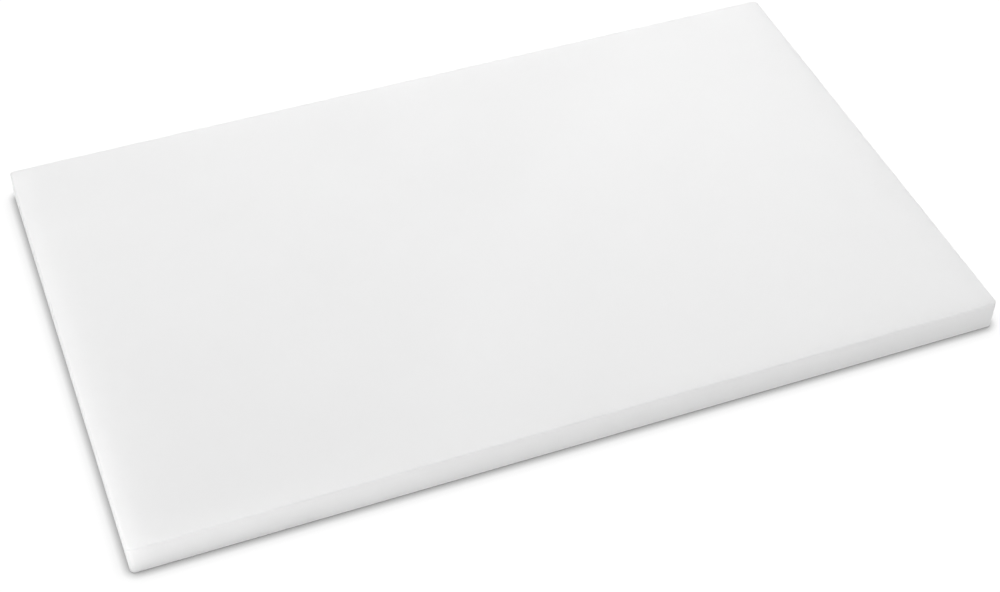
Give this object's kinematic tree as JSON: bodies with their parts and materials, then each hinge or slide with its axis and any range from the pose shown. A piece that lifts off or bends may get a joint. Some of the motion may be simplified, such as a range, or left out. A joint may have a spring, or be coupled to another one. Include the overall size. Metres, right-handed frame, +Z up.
{
  "type": "cutting board",
  "caption": "Flat rectangular cutting board: a solid plate of white polyethylene with slightly rounded corners and rims, usable on both faces.",
  "frame": {"origin": "centre of the face that the board rests on", "axes": "+X along the board's length, to the right seen from the front; +Y across its width, away from the user; +Z up, out of the working face"},
  "size_m": [0.53, 0.325, 0.02],
  "materials": {
    "white_polyethylene": "matte"
  },
  "bodies": {
    "root": {"board_plate": "white_polyethylene"}
  },
  "joints": []
}
